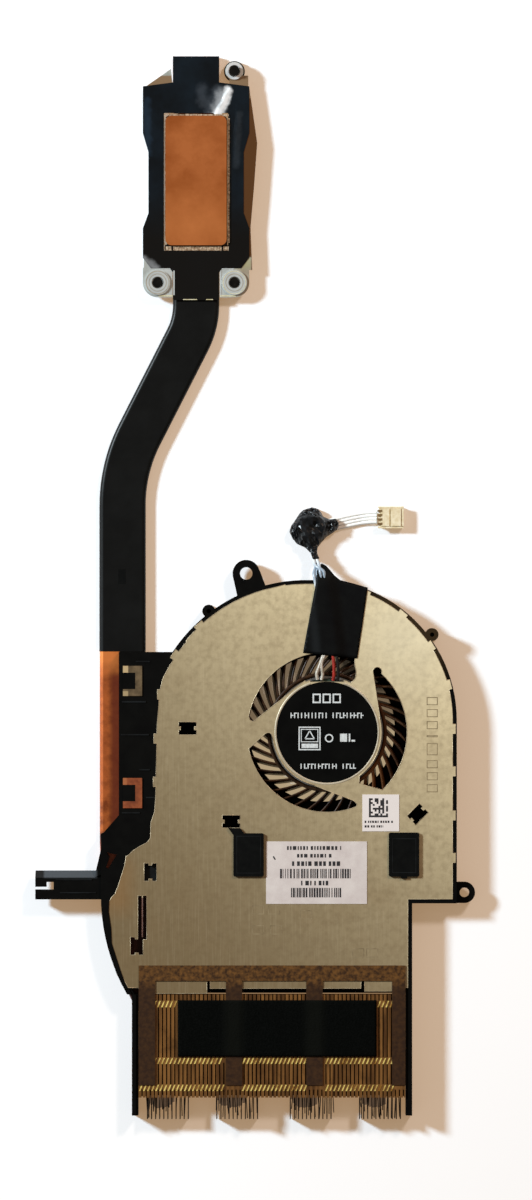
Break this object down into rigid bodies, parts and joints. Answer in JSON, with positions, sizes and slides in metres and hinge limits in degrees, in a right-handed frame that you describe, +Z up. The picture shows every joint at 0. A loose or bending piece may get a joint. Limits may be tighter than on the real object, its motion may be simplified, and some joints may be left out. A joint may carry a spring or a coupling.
{
  "type": "laptop cooling fan with heat pipe and heatsink",
  "caption": "Flat laptop blower in a spiral case with a copper fin stack at its outlet, a flattened heat pipe and a sprung copper cold plate.",
  "frame": {"origin": "bottom centre of the part's box without the free cable: z = 0 is the plane that the fan case's floor rests on", "axes": "+Y from the fins towards the cold plate, along the longest side; +X to the right with the motor plate up; +Z up, out of the motor plate, across the shortest side"},
  "size_m": [0.1099, 0.2658, 0.0074],
  "materials": {
    "black_plastic": "moulded, fine grain",
    "plate_sheet": "champagne sheet, mottled and stained",
    "impeller_plastic": "dark brown moulded",
    "rotor_steel": "drawn cup",
    "magnet": "bonded magnet",
    "polished_steel": "ground shaft",
    "white_plastic": "low friction washer",
    "bronze": "sintered, oiled",
    "brass_part": "turned",
    "stator_iron": "stacked sheets",
    "enamelled_wire": "wound copper wire, enamelled",
    "circuit_board": "green board",
    "black_label": "printed film with plain marks",
    "copper_pipe": "copper, heat stained",
    "black_film": "glossy film",
    "fin_copper": "thin copper sheet, dull with bright folds",
    "stained_copper": "copper with dark oxide mottling",
    "black_foam": "foam strip",
    "clip_steel": "bent sheet",
    "clip_copper": "bent copper sheet",
    "contact_copper": "milled and lapped copper",
    "bracket_steel": "stamped spring steel",
    "black_screw": "blackened steel",
    "pad_rubber": "soft pad",
    "white_label": "paper label with plain blocks",
    "black_tape": "cloth tape, creased",
    "wire_cover": "thin insulated wires",
    "cream_plastic": "moulded connector",
    "contact_metal": "stamped contacts"
  },
  "bodies": {
    "module": {"fan_housing": "black_plastic", "motor_plate": "plate_sheet", "thrust_washer": "white_plastic", "bearing_sleeve": "bronze", "bearing_holder": "brass_part", "stator_core": "stator_iron", "stator_coils": "enamelled_wire", "motor_board": "circuit_board", "hub_label": "black_label", "heat_pipe": "copper_pipe", "pipe_film": "black_film", "fin_stack": "fin_copper", "fin_frame": "stained_copper", "fin_pad": "black_foam", "pipe_clip_upper": "clip_steel", "pipe_clip_lower": "clip_copper", "contact_block": "contact_copper", "spring_bracket": "bracket_steel", "bracket_film": "black_film", "screw_collars": "bracket_steel", "rubber_pad_left": "pad_rubber", "rubber_pad_right": "pad_rubber", "small_label": "white_label", "part_label": "white_label", "cable_tape": "black_tape", "cable": "wire_cover", "cable_wrap": "black_tape", "connector_housing": "cream_plastic", "connector_contacts": "contact_metal"},
    "rotor": {"impeller": "impeller_plastic", "rotor_yoke": "rotor_steel", "magnet_ring": "magnet", "rotor_shaft": "polished_steel"},
    "screw_lower_left": {"captive_screw_1": "black_screw"},
    "screw_lower_right": {"captive_screw_2": "black_screw"},
    "screw_upper_right": {"captive_screw_3": "black_screw"}
  },
  "joints": [
    {"name": "impeller_spin", "type": "hinge", "parent": "module", "child": "rotor", "pos_m": [0.01794, -0.03612, 0.003], "axis": [0, 0, 1], "continuous": true},
    {"name": "screw_1_travel", "type": "slide", "parent": "module", "child": "screw_lower_left", "axis": [0, 0, 1], "range_m": [0, 0.0008]},
    {"name": "screw_2_travel", "type": "slide", "parent": "module", "child": "screw_lower_right", "axis": [0, 0, 1], "range_m": [0, 0.0008]},
    {"name": "screw_3_travel", "type": "slide", "parent": "module", "child": "screw_upper_right", "axis": [0, 0, 1], "range_m": [0, 0.0008]}
  ]
}
